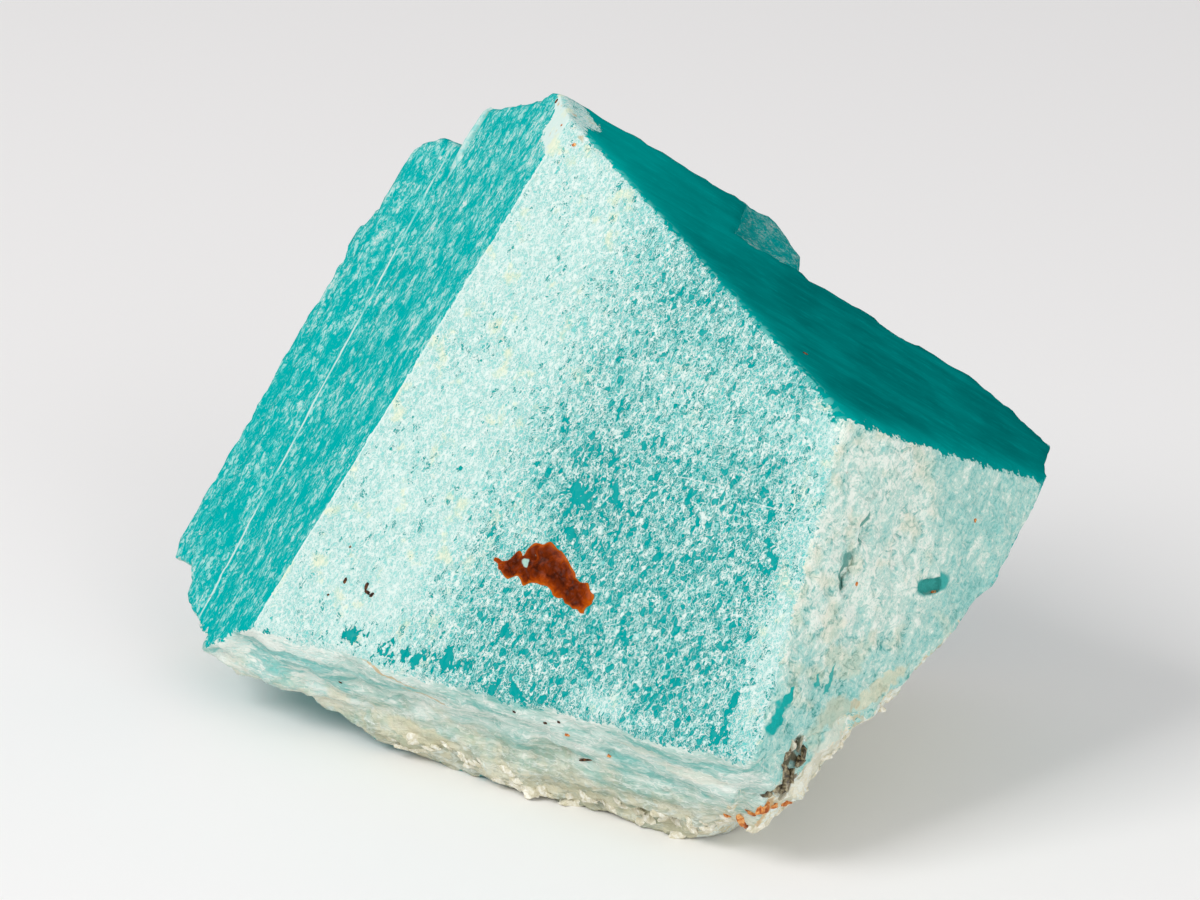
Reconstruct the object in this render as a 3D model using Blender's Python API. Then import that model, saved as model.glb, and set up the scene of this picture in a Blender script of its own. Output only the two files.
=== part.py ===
import math

import bmesh
import bpy
from mathutils import Matrix
from mathutils import Vector
from mathutils import noise
from mathutils.geometry import delaunay_2d_cdt

# Lengths below are in millimetres and angles in degrees until the last step.
METRES_PER_MM = 0.001

# Every face is (azimuth, elevation, distance): where its outward normal points, and how far the face
# lies from the middle of the footprint at ground level. Azimuth 0 looks along -Y and 90 along +X.

# The host crystal, a stubby block standing on its broken lower edge.
HOST = {
    "front": (-37.0, 28.3, 11.95),
    "top": (82.6, 56.8, 24.65),
    "right": (41.4, 7.4, 18.9),
    "bevel": (35.3, 11.6, 19.65),
    "left": (-74.2, 33.6, 17.1),
    "under": (-36.1, -25.5, 6.6),
    "foot": (0.0, -90.0, 0.0),
    "high_back": (143.0, 45.7, 26.0),
    "corner": (135.0, 12.0, 19.35),
    "end": (83.0, -28.7, 11.85),
    "low_end": (81.1, -45.8, 5.85),
    "heel": (48.0, -38.2, 9.7),
    "rear": (163.0, 0.0, 13.05),
    "ridge": (-139.5, 2.7, 16.1),
    "keel": (-145.0, -75.6, 0.75),
}

# Its back steps in along the lower half of the top face: what lies beyond both faces is missing.
BACK_STEP = {
    "back": (155.0, 35.0, 19.35),
    "step": (80.3, -23.2, -4.5),
}

# Two plates grown against the left face, nearly parallel to it.
PLATE = {
    "plate_face": (-62.6, 34.9, 14.75),
    "plate_side": (-147.9, -1.5, 19.65),
    "plate_top": (-179.5, 55.3, 31.2),
    "plate_slope": (123.3, 65.0, 24.9),
    "plate_toe": (-126.4, -39.8, 13.85),
    "plate_sole": (-91.4, -67.8, 4.3),
    "plate_back": (163.0, 0.0, 14.55),
    "plate_under": (-36.1, -25.5, 6.3),
    "plate_keel": (-145.0, -75.6, 0.6),
    "low": (117.4, -34.9, -8.75),
    "inner": (37.5, -3.5, -13.05),
}
OUTER_PLATE = {
    "outer_face": (-62.6, 34.9, 14.45),
    "outer_side": (-151.9, -1.1, 21.15),
    "outer_top": (179.6, 48.4, 29.05),
    "outer_toe": (-148.1, -6.4, 21.3),
    "outer_sole": (-45.0, -59.0, -0.65),
    "outer_back": (163.0, 0.0, 13.55),
    "low": (117.4, -34.9, -10.45),
    "inner": (28.0, 1.0, -15.3),
}

# A small knob behind the top face, one growth step lower.
KNOB = {
    "knob_top": (82.6, 56.8, 24.15),
    "knob_back": (138.0, 32.0, 23.75),
    "knob_side": (105.8, 10.1, 15.4),
    "knob_end": (84.9, -8.2, 5.95),
    "low": (-97.4, -56.8, -21.15),
    "inner": (-99.0, 33.2, 9.4),
    "outer": (-6.9, -0.3, -2.5),
}

# The crumbly pale fringe below the right face.
FRINGE = {
    "fringe_face": (55.4, -34.7, 10.8),
    "fringe_right": (41.4, 7.4, 18.65),
    "fringe_under": (-36.1, -25.5, 6.2),
    "fringe_front": (-37.0, 28.3, 11.55),
    "fringe_back": (151.2, -29.4, -6.15),
    "fringe_side": (135.7, -22.0, -1.95),
    "fringe_sole": (-173.7, -69.2, -6.7),
    "low": (-124.6, 34.7, -7.8),
    "inner": (-66.0, -37.0, -1.0),
}

GROWN_ON = (PLATE, OUTER_PLATE, KNOB, FRINGE)

# Depth of the broken relief on each rough face; every face left out is a flat crystal face.
ROUGH_DEPTH = {
    "under": 0.34,
    "right": 0.12,
    "heel": 0.55,
    "low_end": 0.40,
    "keel": 0.50,
    "rear": 0.45,
    "back": 0.25,
    "high_back": 0.25,
    "step": 0.25,
    "ridge": 0.30,
    "plate_sole": 0.30,
    "plate_keel": 0.30,
    "plate_under": 0.30,
    "plate_back": 0.40,
    "knob_top": 0.15,
    "knob_back": 0.20,
    "fringe_face": 0.55,
    "fringe_right": 0.30,
    "fringe_under": 0.35,
    "fringe_back": 0.45,
    "fringe_side": 0.45,
    "fringe_sole": 0.40,
}

ROUGH_STEP = 0.88       # spacing of the facets on rough faces
FLAT_STEP = 4.5         # spacing of the points on flat faces
LUMP_SIZE = 2.1         # width of one lump of the broken relief
FIBRE_DIRECTION = (0.78, -0.62, -0.04)      # the grain of the underside
FIBRE_STRETCH = 0.35
FLOOR_CLEARANCE = 0.03

# Hollows: centre, half sizes (along, across, deep), the facing of the surface and the turn of the
# long side from the horizontal.
HOLLOWS = {
    "smoky_pocket": ((9.0, -18.6, 7.0), (1.5, 0.55, 0.7), (48.0, -10.0), 52.0),
    "iron_groove": ((7.7, -16.7, 3.7), (1.2, 0.4, 0.5), (48.0, -30.0), 35.0),
    "right_pit": ((15.6, -9.6, 12.0), (0.95, 0.4, 0.3), (41.4, 7.4), -8.0),
    "crevice": ((11.6, -12.7, 14.7), (1.7, 0.35, 0.4), (39.0, 9.0), 68.0),
}
HOLLOW_ROUGHNESS = 0.22

STONE_COLOUR = (0.16, 0.53, 0.50, 1.0)
STONE_ROUGHNESS = 0.45


def clear_scene():
    for thing in list(bpy.data.objects):
        bpy.data.objects.remove(thing, do_unlink=True)


def facing(azimuth, elevation):
    around = math.radians(azimuth)
    up = math.radians(elevation)
    return Vector((math.sin(around) * math.cos(up), -math.cos(around) * math.cos(up), math.sin(up)))


def to_object(name, work):
    mesh = bpy.data.meshes.new(name)
    work.to_mesh(mesh)
    work.free()
    thing = bpy.data.objects.new(name, mesh)
    bpy.context.scene.collection.objects.link(thing)
    return thing


def crystal(name, faces):
    # A block cut down to the space behind every face.
    work = bmesh.new()
    bmesh.ops.create_cube(work, size=160.0)
    for azimuth, elevation, distance in faces.values():
        normal = facing(azimuth, elevation)
        everything = work.verts[:] + work.edges[:] + work.faces[:]
        cut = bmesh.ops.bisect_plane(
            work, geom=everything, plane_co=normal * distance, plane_no=normal, clear_outer=True)
        rim = [part for part in cut["geom_cut"] if isinstance(part, bmesh.types.BMEdge)]
        if rim:
            bmesh.ops.contextual_create(work, geom=rim)
    bmesh.ops.recalc_face_normals(work, faces=work.faces[:])
    return to_object(name, work)


def combine(target, other, operation):
    change = target.modifiers.new("change", "BOOLEAN")
    change.operation = operation
    change.solver = "EXACT"
    change.object = other
    bpy.context.view_layer.update()
    result = target.evaluated_get(bpy.context.evaluated_depsgraph_get())
    mesh = bpy.data.meshes.new_from_object(result)
    target.modifiers.clear()
    target.data = mesh
    bpy.data.objects.remove(other, do_unlink=True)


def beyond(faces):
    # The space outside all of the faces.
    return {name: (around + 180.0, -up, -distance) for name, (around, up, distance) in faces.items()}


def joined_crystals():
    cluster = crystal("host", HOST)
    combine(cluster, crystal("missing", beyond(BACK_STEP)), "DIFFERENCE")
    for number, faces in enumerate(GROWN_ON):
        combine(cluster, crystal("grown_%d" % number, faces), "UNION")
    return cluster


def face_name(normal, point):
    # The face of the table this flat patch lies on.
    for faces in (HOST, BACK_STEP) + GROWN_ON:
        for name, (azimuth, elevation, distance) in faces.items():
            direction = facing(azimuth, elevation)
            if direction.dot(normal) > 0.9999 and abs(direction.dot(point) - distance) < 0.01:
                return name
    return "plain"


def edge_points(start, end, step):
    count = max(1, round((end - start).length / step))
    return [start.lerp(end, part / count) for part in range(1, count)]


def inner_points(outline, step):
    # A triangular grid of points, kept clear of the outline.
    low = Vector((min(p.x for p in outline), min(p.y for p in outline)))
    high = Vector((max(p.x for p in outline), max(p.y for p in outline)))
    row_height = step * math.sqrt(3.0) / 2.0
    kept = []
    row = 0
    while low.y + row * row_height < high.y:
        column = 0
        while low.x + column * step < high.x:
            sway = drift(Vector((row * 1.7, column * 2.3, step))) * 0.18 * step
            point = Vector((low.x + (column + 0.5 * (row % 2)) * step, low.y + row * row_height)) + sway.xy
            if clear_of(point, outline, 0.45 * step):
                kept.append(point)
            column += 1
        row += 1
    return kept


def drift(place):
    # A smoothly varying vector.
    return Vector([noise.noise(place + Vector((31.7 * turn, 7.3, 3.1))) for turn in (1, 2, 3)])


def clear_of(point, outline, margin):
    for start, end in zip(outline, outline[1:] + outline[:1]):
        along = end - start
        part = max(0.0, min(1.0, (point - start).dot(along) / along.length_squared))
        if (start + along * part - point).length < margin:
            return False
    return True


class Relief:
    # Rebuilds the flat faces with even facets and remembers which faces meet at every point.

    def __init__(self, cluster):
        self.points = []
        self.faces_at = []
        self.triangles = []
        self.corner_of = {}
        self.along_edge = {}
        source = bmesh.new()
        source.from_mesh(cluster.data)
        bmesh.ops.remove_doubles(source, verts=source.verts[:], dist=0.002)
        bmesh.ops.dissolve_limit(
            source, angle_limit=math.radians(0.2), verts=source.verts[:], edges=source.edges[:])
        self.names = {}
        for face in source.faces:
            self.names[face] = face_name(face.normal, face.calc_center_median())
        for face in source.faces:
            self.add_face(face)
        source.free()

    def add_point(self, place):
        self.points.append(place.copy())
        self.faces_at.append({})
        return len(self.points) - 1

    def corner(self, vertex):
        if vertex not in self.corner_of:
            self.corner_of[vertex] = self.add_point(vertex.co)
        return self.corner_of[vertex]

    def is_rough(self, face):
        return self.names[face] in ROUGH_DEPTH

    def edge_run(self, edge, first):
        if edge not in self.along_edge:
            rough = any(self.is_rough(face) for face in edge.link_faces)
            step = ROUGH_STEP if rough else FLAT_STEP
            start, end = edge.verts
            self.along_edge[edge] = [self.add_point(p) for p in edge_points(start.co, end.co, step)]
        run = self.along_edge[edge]
        return run if edge.verts[0] == first else run[::-1]

    def add_face(self, face):
        normal = face.normal
        across = normal.orthogonal().normalized()
        along = normal.cross(across)
        loop_ids = []
        for loop in face.loops:
            loop_ids.append(self.corner(loop.vert))
            loop_ids.extend(self.edge_run(loop.edge, loop.vert))
        outline = [Vector((self.points[i].dot(across), self.points[i].dot(along))) for i in loop_ids]
        rough = self.is_rough(face)
        grid = inner_points(outline, ROUGH_STEP if rough else FLAT_STEP)
        flat = outline + grid
        result = delaunay_2d_cdt(flat, [], [list(range(len(outline)))], 1, 1e-5)
        depth = normal.dot(face.verts[0].co)
        ids = {}
        for new, origins in enumerate(result[3]):
            known = [origin for origin in origins if origin < len(outline)]
            if known:
                ids[new] = loop_ids[known[0]]
        for triangle in result[2]:
            for new in triangle:
                if new not in ids:
                    place = across * result[0][new].x + along * result[0][new].y + normal * depth
                    ids[new] = self.add_point(place)
                self.faces_at[ids[new]][self.names[face]] = normal.copy()
            self.triangles.append([ids[new] for new in triangle])

    def moved(self, number):
        place = self.points[number]
        meeting = self.faces_at[number]
        crisp = [normal for name, normal in meeting.items() if name not in ROUGH_DEPTH]
        depths = [ROUGH_DEPTH[name] for name in meeting if name in ROUGH_DEPTH]
        if not depths or len(crisp) > 1:
            return place
        shift = broken_shift(place, meeting, sum(depths) / len(depths))
        for normal in crisp:
            shift -= normal * shift.dot(normal)
        result = place + shift
        if "foot" not in meeting:
            result.z = max(result.z, FLOOR_CLEARANCE)
        return result

    def build(self, name):
        work = bmesh.new()
        places = [work.verts.new(self.moved(number)) for number in range(len(self.points))]
        for triangle in self.triangles:
            work.faces.new([places[number] for number in triangle])
        loose = [vertex for vertex in work.verts if not vertex.link_faces]
        bmesh.ops.delete(work, geom=loose, context="VERTS")
        bmesh.ops.recalc_face_normals(work, faces=work.faces[:])
        return to_object(name, work)


def broken_shift(place, meeting, depth):
    # Lumps and chips of a broken surface; the underside has a grain along the crystal.
    sample = place.copy()
    if "under" in meeting or "fringe_under" in meeting:
        grain = Vector(FIBRE_DIRECTION).normalized()
        sample -= grain * sample.dot(grain) * (1.0 - FIBRE_STRETCH)
    sample = sample / LUMP_SIZE
    outward = Vector((0.0, 0.0, 0.0))
    for normal in meeting.values():
        outward += normal
    outward.normalize()
    lump = noise.fractal(sample, 0.7, 2.1, 4) * 1.3
    chip = 0.5 - noise.voronoi(sample * 1.3)[0][0]
    sideways = drift(sample * 1.9)
    return (outward * (lump + chip - 0.35) + sideways * 0.45) * depth


def hollow(name, centre, half_sizes, look, turn):
    work = bmesh.new()
    bmesh.ops.create_icosphere(work, subdivisions=2, radius=1.0)
    for vertex in work.verts:
        vertex.co *= 1.0 + HOLLOW_ROUGHNESS * noise.noise(vertex.co * 2.3 + Vector(centre))
    normal = facing(*look)
    level = Vector((0.0, 0.0, 1.0)).cross(normal).normalized()
    rise = normal.cross(level)
    angle = math.radians(turn)
    along = level * math.cos(angle) + rise * math.sin(angle)
    across = normal.cross(along)
    length, width, depth = half_sizes
    turned = Matrix((along * length, across * width, normal * depth)).transposed()
    for vertex in work.verts:
        vertex.co = turned @ vertex.co + Vector(centre)
    bmesh.ops.recalc_face_normals(work, faces=work.faces[:])
    return to_object(name, work)


def cut_hollows(body):
    for name, (centre, half_sizes, look, turn) in HOLLOWS.items():
        combine(body, hollow(name, centre, half_sizes, look, turn), "DIFFERENCE")


def stand_on_ground(body):
    # The middle of the footprint goes to the origin, and sizes become metres.
    places = [vertex.co for vertex in body.data.vertices]
    middle_x = (min(p.x for p in places) + max(p.x for p in places)) / 2.0
    middle_y = (min(p.y for p in places) + max(p.y for p in places)) / 2.0
    lowest = min(p.z for p in places)
    print("middle of the cluster in mm:", round(middle_x, 3), round(middle_y, 3), round(lowest, 4))
    body.data.transform(Matrix.Translation((-middle_x, -middle_y, -lowest)))
    body.data.transform(Matrix.Scale(METRES_PER_MM, 4))


def stone_material():
    material = bpy.data.materials.new("amazonite")
    material.use_nodes = True
    shader = material.node_tree.nodes["Principled BSDF"]
    shader.inputs["Base Color"].default_value = STONE_COLOUR
    shader.inputs["Roughness"].default_value = STONE_ROUGHNESS
    return material


def finish(body):
    work = bmesh.new()
    work.from_mesh(body.data)
    bmesh.ops.triangulate(work, faces=work.faces[:])
    bmesh.ops.remove_doubles(work, verts=work.verts[:], dist=1e-8)
    bmesh.ops.dissolve_degenerate(work, edges=work.edges[:], dist=1e-8)
    bmesh.ops.triangulate(work, faces=work.faces[:])
    work.to_mesh(body.data)
    work.free()
    body.name = "amazonite_crystal"
    body.data.name = "amazonite_crystal"
    body.data.materials.clear()
    body.data.materials.append(stone_material())


def build():
    clear_scene()
    cluster = joined_crystals()
    relief = Relief(cluster)
    bpy.data.objects.remove(cluster, do_unlink=True)
    body = relief.build("body")
    cut_hollows(body)
    stand_on_ground(body)
    finish(body)


build()
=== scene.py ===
import math

import bmesh
import bpy
import numpy as np
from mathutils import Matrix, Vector, noise
from mathutils.bvhtree import BVHTree


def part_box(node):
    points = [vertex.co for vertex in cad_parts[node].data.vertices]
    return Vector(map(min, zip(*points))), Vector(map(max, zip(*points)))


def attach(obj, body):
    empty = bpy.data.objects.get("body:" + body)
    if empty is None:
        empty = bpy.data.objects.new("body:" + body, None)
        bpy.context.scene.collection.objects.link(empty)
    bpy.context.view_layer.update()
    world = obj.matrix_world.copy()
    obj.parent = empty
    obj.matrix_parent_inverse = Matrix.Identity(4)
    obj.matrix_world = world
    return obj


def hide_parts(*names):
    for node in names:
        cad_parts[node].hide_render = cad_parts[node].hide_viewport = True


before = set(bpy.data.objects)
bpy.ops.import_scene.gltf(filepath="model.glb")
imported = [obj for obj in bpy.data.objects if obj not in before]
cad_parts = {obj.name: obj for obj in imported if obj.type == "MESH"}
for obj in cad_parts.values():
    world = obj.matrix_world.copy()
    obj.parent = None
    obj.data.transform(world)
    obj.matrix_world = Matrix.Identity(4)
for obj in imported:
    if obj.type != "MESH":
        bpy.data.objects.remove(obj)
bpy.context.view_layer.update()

print("frame loaded")

# Lengths below are millimetres; metre turns them into Blender's units.
metre = 0.001

# The crystal's flat faces: azimuth and elevation of the outward normal, then the distance of the
# face from the middle of the footprint. Azimuth 0 looks along -Y and 90 along +X.
faces = {
    "front": (-37.0, 28.3, 11.95),
    "top": (82.6, 56.8, 24.65),
    "right": (41.4, 7.4, 18.9),
    "bevel": (35.3, 11.6, 19.65),
    "left": (-74.2, 33.6, 17.1),
    "under": (-36.1, -25.5, 6.6),
    "highBack": (143.0, 45.7, 26.0),
    "corner": (135.0, 12.0, 19.35),
    "end": (83.0, -28.7, 11.85),
    "lowEnd": (81.1, -45.8, 5.85),
    "heel": (48.0, -38.2, 9.7),
    "rear": (163.0, 0.0, 13.05),
    "ridge": (-139.5, 2.7, 16.1),
    "keel": (-145.0, -75.6, 0.75),
    "back": (155.0, 35.0, 19.35),
    "plateFace": (-62.6, 34.9, 14.75),
    "plateSide": (-147.9, -1.5, 19.65),
    "plateTop": (-179.5, 55.3, 31.2),
    "plateSlope": (123.3, 65.0, 24.9),
    "plateToe": (-126.4, -39.8, 13.85),
    "plateSole": (-91.4, -67.8, 4.3),
    "outerSole": (-45.0, -59.0, -0.65),
    "outerToe": (-148.1, -6.4, 21.3),
    "knobTop": (82.6, 56.8, 24.15),
    "knobBack": (138.0, 32.0, 23.75),
    "knobSide": (105.8, 10.1, 15.4),
    "fringeFace": (55.4, -34.7, 10.8),
    "fringeSole": (-173.7, -69.2, -6.7),
}
footprintShift = Vector((0.011, -0.067, 0.0))   # the model stands with its box's middle at the origin


# Outward normal of a face, the level and the rising direction in it, and its distance
def facing(name):
    azimuth, elevation, reach = faces[name]
    a = math.radians(azimuth)
    e = math.radians(elevation)
    normal = Vector((math.sin(a) * math.cos(e), -math.cos(a) * math.cos(e), math.sin(e)))
    level = Vector((0, 0, 1)).cross(normal).normalized()
    rising = normal.cross(level)
    return normal, level, rising, reach + normal.dot(footprintShift)


# Direction of the edge that two faces share
def edgeBetween(one, other):
    return facing(one)[0].cross(facing(other)[0]).normalized()


growthAxis = edgeBetween("front", "left")       # flecks and growth steps run along it
ridgeAxis = edgeBetween("top", "highBack")      # striations of the top face
rightAxis = edgeBetween("right", "left")        # streaks of the right face


# Camera at the photograph's viewing angle
view = {
    "target": (0.07, -12.08, 19.74),
    "distance": 220.0,
    "lookDown": 20.0,
    "pixelsPerMm": 21.7,
    "pictureWidth": 1200,
    "sensor": 36.0,
}


def placeCamera():
    tilt = math.radians(view["lookDown"])
    back = Vector((0, -math.cos(tilt), math.sin(tilt))) * view["distance"]
    data = bpy.data.cameras.new("camera")
    data.sensor_width = view["sensor"]
    data.lens = view["pixelsPerMm"] * view["distance"] / view["pictureWidth"] * view["sensor"]
    data.clip_start = 0.01
    camera = bpy.data.objects.new("camera", data)
    camera.location = (Vector(view["target"]) + back) * metre
    camera.rotation_euler = (math.radians(90) - tilt, 0, 0)
    bpy.context.scene.collection.objects.link(camera)
    bpy.context.scene.camera = camera


placeCamera()


# One output socket of a node, with arithmetic on it
class Wire:
    def __init__(self, tree, socket=None):
        self.tree = tree
        self.socket = socket

    # Any node: its type, its settings, which are set first, and the values or links of its sockets
    def add(self, kind, settings=None, inputs=None, out=0):
        node = self.tree.nodes.new("ShaderNode" + kind)
        for name, value in (settings or {}).items():
            if name == "stops":
                setStops(node.color_ramp, value)
            else:
                setattr(node, name, value)
        for name, value in (inputs or {}).items():
            if isinstance(value, Wire):
                self.tree.links.new(value.socket, node.inputs[name])
            else:
                node.inputs[name].default_value = value
        return Wire(self.tree, node.outputs[out])

    def maths(self, operation, *values):
        return self.add("Math", {"operation": operation}, dict(enumerate(values)))

    def __add__(self, other):
        return self.maths("ADD", self, other)

    __radd__ = __add__

    def __sub__(self, other):
        return self.maths("SUBTRACT", self, other)

    def __rsub__(self, other):
        return self.maths("SUBTRACT", other, self)

    def __mul__(self, other):
        return self.maths("MULTIPLY", self, other)

    __rmul__ = __mul__

    def __truediv__(self, other):
        return self.maths("DIVIDE", self, other)

    def __abs__(self):
        return self.maths("ABSOLUTE", self)

    def least(self, other):
        return self.maths("MINIMUM", self, other)

    def most(self, other):
        return self.maths("MAXIMUM", self, other)

    # 0 below low, 1 above high, smooth between
    def rise(self, low, high):
        limits = {"Value": self, "From Min": low, "From Max": high}
        return self.add("MapRange", {"interpolation_type": "SMOOTHSTEP"}, limits)

    def fall(self, low, high):
        return 1 - self.rise(low, high)

    # Colours and vectors
    def mix(self, other, share):
        inputs = {0: share, 6: self, 7: other}
        return self.add("Mix", {"data_type": "RGBA"}, inputs, out=2)

    def dot(self, direction):
        inputs = {0: self, 1: tuple(direction)}
        return self.add("VectorMath", {"operation": "DOT_PRODUCT"}, inputs, out=1)

    # Colours picked along a line of stops, each a share and a colour code
    def ramp(self, stops):
        stops = [(share, tint(code)) for share, code in stops]
        return self.add("ValToRGB", {"stops": stops}, {"Fac": self})

    def farFrom(self, place):
        inputs = {0: self, 1: tuple(place)}
        return self.add("VectorMath", {"operation": "DISTANCE"}, inputs, out=1)

    def times(self, factors):
        return self.add("VectorMath", {"operation": "MULTIPLY"}, {0: self, 1: factors})

    def shifted(self, offset):
        return self.add("VectorMath", {"operation": "ADD"}, {0: self, 1: offset})

    # The place read along three directions, each divided by a length
    def along(self, axes, lengths):
        x, y, z = (self.dot(Vector(axis) / length) for axis, length in zip(axes, lengths))
        return self.add("CombineXYZ", None, {"X": x, "Y": y, "Z": z})

    def grain(self, size=1.0, detail=2.0, rough=0.5, warp=0.0):
        inputs = {"Vector": self, "Scale": 1 / size, "Detail": detail, "Roughness": rough}
        inputs["Distortion"] = warp
        return self.add("TexNoise", {"noise_dimensions": "3D"}, inputs)

    # The place pushed about by noise, for outlines that wander
    def bent(self, size, amount):
        drift = self.add("TexNoise", None, {"Vector": self, "Scale": 1 / size, "Detail": 1.0}, out=1)
        inputs = {0: drift, 1: (amount,) * 3, 2: self.shifted((-amount / 2,) * 3)}
        return self.add("VectorMath", {"operation": "MULTIPLY_ADD"}, inputs)

    # Small flakes with curved outlines: a number of its own for each, and 0 on the outlines
    def flakes(self, size=1.0, bend=0.8, seed=0.0):
        place = self.shifted((seed,) * 3).bent(size * 1.25, bend * size)
        inputs = {"Vector": place, "Scale": 1 / size}
        tone = self.add("TexVoronoi", {"feature": "F1"}, inputs, out=1).dot((1, 0, 0))
        outline = self.add("TexVoronoi", {"feature": "DISTANCE_TO_EDGE"}, inputs)
        return tone, outline


def setStops(ramp, stops):
    while len(ramp.elements) < len(stops):
        ramp.elements.new(0.5)
    for element, (position, colour) in zip(ramp.elements, stops):
        element.position = position
        element.color = colour


# A colour written as it shows on a screen, turned into Blender's linear values
def tint(code):
    parts = [int(code[i:i + 2], 16) / 255 for i in (0, 2, 4)]
    return tuple(c / 12.92 if c < 0.04045 else ((c + 0.055) / 1.055) ** 2.4 for c in parts) + (1.0,)


# A new material: gives its shader node and a wire that reads the place in millimetres
def newFinish(name):
    material = bpy.data.materials.new(name)
    material.use_nodes = True
    tree = material.node_tree
    shader = tree.nodes["Principled BSDF"]
    start = Wire(tree)
    place = start.add("TexCoord", out="Object").times((1 / metre,) * 3)
    return material, shader, place


def feed(shader, name, wire):
    wire.tree.links.new(wire.socket, shader.inputs[name])


# Floor, lights and the pale room around them
studio = {
    "floorSide": 3.0,
    "floorColour": "F4F3F2",
    "floorRoughness": 0.7,
    "roomColour": (0.985, 0.98, 0.993, 1.0),
    "roomStrength": 0.55,
    "lamps": {
        # name: place and target in mm, size in mm, watts, colour
        "key": ((-330, -190, 380), (0, 0, 10), 260, 1.55, (1.0, 0.985, 0.98)),
        "fill": ((240, -400, 170), (0, 0, 12), 320, 0.85, (0.98, 0.99, 1.0)),
    },
}


def makeFloor():
    half = studio["floorSide"] / 2
    mesh = bpy.data.meshes.new("floor")
    corners = [(-half, -half, 0), (half, -half, 0), (half, half, 0), (-half, half, 0)]
    mesh.from_pydata(corners, [], [(0, 1, 2, 3)])
    floor = bpy.data.objects.new("floor", mesh)
    bpy.context.scene.collection.objects.link(floor)
    material, shader = newFinish("paleFloor")[:2]
    shader.inputs["Base Color"].default_value = tint(studio["floorColour"])
    shader.inputs["Roughness"].default_value = studio["floorRoughness"]
    mesh.materials.append(material)


def makeLamps():
    for name, (place, target, size, watts, colour) in studio["lamps"].items():
        data = bpy.data.lights.new(name, "AREA")
        data.size = size * metre
        data.energy = watts
        data.color = colour
        lamp = bpy.data.objects.new(name, data)
        lamp.location = Vector(place) * metre
        aim = Vector(target) - Vector(place)
        lamp.rotation_euler = aim.to_track_quat("-Z", "Y").to_euler()
        bpy.context.scene.collection.objects.link(lamp)
    world = bpy.data.worlds.new("room")
    world.use_nodes = True
    sky = world.node_tree.nodes["Background"]
    sky.inputs["Color"].default_value = studio["roomColour"]
    sky.inputs["Strength"].default_value = studio["roomStrength"]
    bpy.context.scene.world = world
    bpy.context.scene.view_settings.view_transform = "Standard"


makeFloor()
makeLamps()
print("studio ready")


# The stone: how its surface is divided, and how rough each kind of face is
stone = {
    # edge length of the fine mesh on each kind of surface
    "spacing": {
        "crust": 0.28, "pale": 0.26, "bright": 0.33, "deep": 0.40,
        "broken": 0.28, "crumbly": 0.28, "hidden": 0.66,
    },
    "quickCoarser": 2.2,
    "longest": 1.42,           # an edge may be this many times its spacing
    "rounds": 8,
    "mergeGap": 0.001,
    "turnWeight": 2.5,         # how much a facet's direction counts when its kind is chosen
    "fringeTop": 10.0,         # the crumbly fringe ends below this height
    "summit": (-1.5, 5.7, 30.5),
    "capRadius": 1.9,          # the crust wraps over the crystal's tip this far
    "capRagged": (0.7, 0.9),   # size and strength of its ragged edge
    "wear": 0.75,              # share of rounding on worn edges
    "wearSize": 1.1,           # length over which the wear comes and goes
    "wearPasses": 2,
    # edges rounded off: the two faces, how far from the edge it starts, and how strongly
    "rounded": [("front", "bevel", 0.9, 14), ("front", "under", 0.35, 3), ("top", "right", 0.3, 3)],
    # lumpy places worn smooth: the middle, the radius and how strongly
    "softened": [((5.6, -13.6, 0.9), 2.8, 22), ((10.0, -13.0, 3.2), 1.8, 6)],
    "blendPasses": 5,          # how far the finishes run into each other
    "slowPasses": 30,          # the same between the front and the right face
    "slowFade": (-2.4, -0.8),
    "crispFade": (-0.5, -0.2),     # the edge between front and left face stays sharp
    "sharpAngle": 38.0,
}

# Which kind of surface each face of the crystal has
kinds = {
    "crust": ("front",),
    "pale": ("right", "bevel"),
    "bright": ("left", "plateFace", "plateSlope", "plateTop", "plateSide", "outerToe", "plateToe",
               "knobTop", "knobBack", "knobSide"),
    "deep": ("top",),
    "broken": ("under", "plateSole", "outerSole"),
    "crumbly": ("fringeFace", "fringeSole", "heel", "lowEnd"),
    "hidden": ("highBack", "corner", "end", "rear", "ridge", "keel", "back"),
}
# From the lowest to the uppermost finish; each is stored as its share of itself and those below it
layerOrder = ("hidden", "broken", "crumbly", "bright", "deep", "pale", "crust")


# Height of points over a flat face: 0 on it and negative inside the stone
def heightOver(name, points):
    return points @ np.array(facing(name)[0]) - facing(name)[3]


# The kind of every facet, from how near its middle and its direction come to each face
def sortFacets(middles, normals):
    names = [(face, kind) for kind, members in kinds.items() for face in members]
    order = list(kinds)
    scores = []
    for face, kind in names:
        turn = 1 - normals @ np.array(facing(face)[0])
        scores.append(np.abs(heightOver(face, middles)) + stone["turnWeight"] * turn)
    best = np.argmin(np.array(scores), axis=0)
    kindOf = np.array([order.index(kind) for face, kind in names])[best]
    tooHigh = (kindOf == order.index("crumbly")) & (middles[:, 2] > stone["fringeTop"])
    kindOf[tooHigh] = order.index("hidden")
    return kindOf


def facetArrays(work):
    middles = np.array([f.calc_center_median() for f in work.faces])
    normals = np.array([f.normal for f in work.faces])
    return middles, normals


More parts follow.
